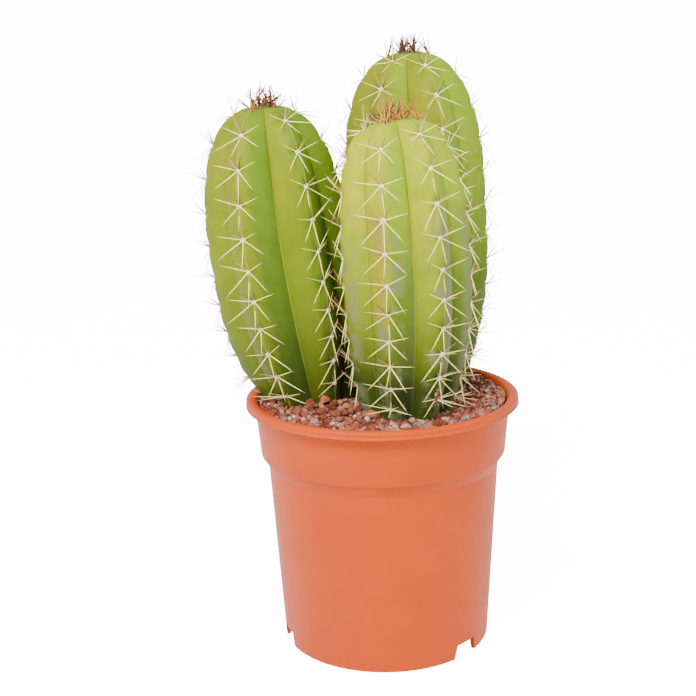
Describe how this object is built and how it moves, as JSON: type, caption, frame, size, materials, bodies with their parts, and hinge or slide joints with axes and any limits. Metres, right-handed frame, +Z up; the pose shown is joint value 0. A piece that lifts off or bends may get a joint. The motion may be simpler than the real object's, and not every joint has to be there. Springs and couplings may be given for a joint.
{
  "type": "potted cactus",
  "caption": "Column cactus with ribbed spiny stems, standing in grit in a round tapered plastic nursery pot with a turned lip and a stepped band.",
  "frame": {"origin": "on the ground, under the middle of the whole plant's box; the pot's own axis stands at x 0.0167, y -0.0239", "axes": "+Z up; -Y is the side that the picture shows; the taller stem leans towards +Y"},
  "size_m": [0.2068, 0.2179, 0.3771],
  "materials": {
    "pot_plastic": "satin",
    "grit": "matte",
    "left_skin": "satin",
    "front_skin": "satin",
    "back_skin": "satin"
  },
  "bodies": {
    "root": {"pot": "pot_plastic", "soil": "grit", "column_left": "left_skin", "column_front": "front_skin", "column_back": "back_skin"}
  },
  "joints": []
}
